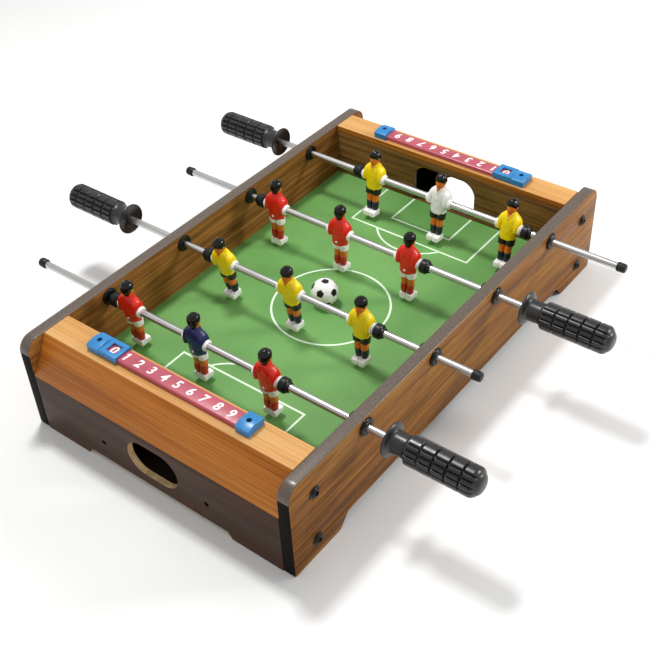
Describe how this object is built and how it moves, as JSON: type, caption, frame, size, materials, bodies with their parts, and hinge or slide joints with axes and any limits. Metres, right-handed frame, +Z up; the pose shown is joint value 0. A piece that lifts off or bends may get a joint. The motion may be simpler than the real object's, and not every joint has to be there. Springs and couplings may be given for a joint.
{
  "type": "tabletop football table",
  "caption": "Tabletop football game: wooden cabinet with green field, four sliding and spinning rods with figures, score counters and a ball.",
  "frame": {"origin": "centre of the bounding box at floor level, handles included; the cabinet's own centre is 15.5 mm towards +X", "axes": "+X across the table along the rods, +Y along its length towards the far goal, +Z up"},
  "size_m": [0.58, 0.51, 0.1241],
  "materials": {
    "panel_wood": "satin wood-print laminate on board, grain along the length",
    "hood_wood": "satin wood-print laminate, grain across the table",
    "wall_wood": "satin dark wood-print laminate",
    "field_green": "matte printed green sheet on board",
    "chrome_rod": "bright plated steel tube",
    "handle_black": "semi-matte moulded grip",
    "cap_black": "soft rubber cap",
    "bumper_rubber": "soft rubber ring",
    "bushing_black": "glossy moulded bushing",
    "bolt_black": "blackened steel",
    "counter_red": "moulded plastic strip",
    "counter_blue": "moulded plastic",
    "ball_white": "white ball with black spots",
    "figure_red": "painted moulded figure",
    "figure_yellow": "painted moulded figure",
    "figure_blue": "painted moulded figure",
    "figure_white": "painted moulded figure"
  },
  "bodies": {
    "table": {"right_side_panel": "panel_wood", "left_side_panel": "panel_wood", "playfield": "field_green", "near_goal_wall": "wall_wood", "near_end_hood": "hood_wood", "near_score_bar": "counter_red", "far_goal_wall": "wall_wood", "far_end_hood": "hood_wood", "far_score_bar": "counter_red", "right_near_lower_bolt": "bolt_black", "right_near_upper_bolt": "bolt_black", "right_far_lower_bolt": "bolt_black", "right_far_upper_bolt": "bolt_black", "bushing_1_right": "bushing_black", "bushing_2_right": "bushing_black", "bushing_3_right": "bushing_black", "bushing_4_right": "bushing_black", "left_near_lower_bolt": "bolt_black", "left_near_upper_bolt": "bolt_black", "left_far_lower_bolt": "bolt_black", "left_far_upper_bolt": "bolt_black", "bushing_1_left": "bushing_black", "bushing_2_left": "bushing_black", "bushing_3_left": "bushing_black", "bushing_4_left": "bushing_black"},
    "near_slider": {"near_score_slider": "counter_blue"},
    "far_slider": {"far_score_slider": "counter_blue"},
    "ball_body": {"ball": "ball_white"},
    "bumpers_1": {"bumper_1_left": "bumper_rubber", "bumper_1_right": "bumper_rubber"},
    "rod_set_1": {"rod_1": "chrome_rod", "handle_1": "handle_black", "end_cap_1": "cap_black", "player_1_left": "figure_red", "keeper_1": "figure_blue", "player_1_right": "figure_red"},
    "bumpers_2": {"bumper_2_left": "bumper_rubber", "bumper_2_right": "bumper_rubber"},
    "rod_set_2": {"rod_2": "chrome_rod", "handle_2": "handle_black", "end_cap_2": "cap_black", "player_2_left": "figure_yellow", "player_2_middle": "figure_yellow", "player_2_right": "figure_yellow"},
    "bumpers_3": {"bumper_3_left": "bumper_rubber", "bumper_3_right": "bumper_rubber"},
    "rod_set_3": {"rod_3": "chrome_rod", "handle_3": "handle_black", "end_cap_3": "cap_black", "player_3_left": "figure_red", "player_3_middle": "figure_red", "player_3_right": "figure_red"},
    "bumpers_4": {"bumper_4_left": "bumper_rubber", "bumper_4_right": "bumper_rubber"},
    "rod_set_4": {"rod_4": "chrome_rod", "handle_4": "handle_black", "end_cap_4": "cap_black", "player_4_left": "figure_yellow", "keeper_4": "figure_white", "player_4_right": "figure_yellow"}
  },
  "joints": [
    {"name": "rod_1_slide", "type": "slide", "parent": "table", "child": "bumpers_1", "axis": [1, 0, 0], "range_m": [-0.0009, 0.0639]},
    {"name": "rod_1_spin", "type": "hinge", "parent": "bumpers_1", "child": "rod_set_1", "pos_m": [0.0155, -0.1545, 0.0925], "axis": [1, 0, 0], "continuous": true},
    {"name": "rod_2_slide", "type": "slide", "parent": "table", "child": "bumpers_2", "axis": [1, 0, 0], "range_m": [-0.0264, 0.0384]},
    {"name": "rod_2_spin", "type": "hinge", "parent": "bumpers_2", "child": "rod_set_2", "pos_m": [0.0155, -0.0515, 0.0925], "axis": [1, 0, 0], "continuous": true},
    {"name": "rod_3_slide", "type": "slide", "parent": "table", "child": "bumpers_3", "axis": [1, 0, 0], "range_m": [-0.0074, 0.0574]},
    {"name": "rod_3_spin", "type": "hinge", "parent": "bumpers_3", "child": "rod_set_3", "pos_m": [0.0155, 0.0515, 0.0925], "axis": [1, 0, 0], "continuous": true},
    {"name": "rod_4_slide", "type": "slide", "parent": "table", "child": "bumpers_4", "axis": [1, 0, 0], "range_m": [-0.0594, 0.0054]},
    {"name": "rod_4_spin", "type": "hinge", "parent": "bumpers_4", "child": "rod_set_4", "pos_m": [0.0155, 0.1545, 0.0925], "axis": [1, 0, 0], "continuous": true},
    {"name": "near_score_slide", "type": "slide", "parent": "table", "child": "near_slider", "axis": [1, 0, 0], "range_m": [0, 0.1364]},
    {"name": "far_score_slide", "type": "slide", "parent": "table", "child": "far_slider", "axis": [-1, 0, 0], "range_m": [0, 0.1364]},
    {"name": "ball_lift", "type": "slide", "parent": "table", "child": "ball_body", "axis": [0, 0, 1], "range_m": [0, 0.08]}
  ]
}
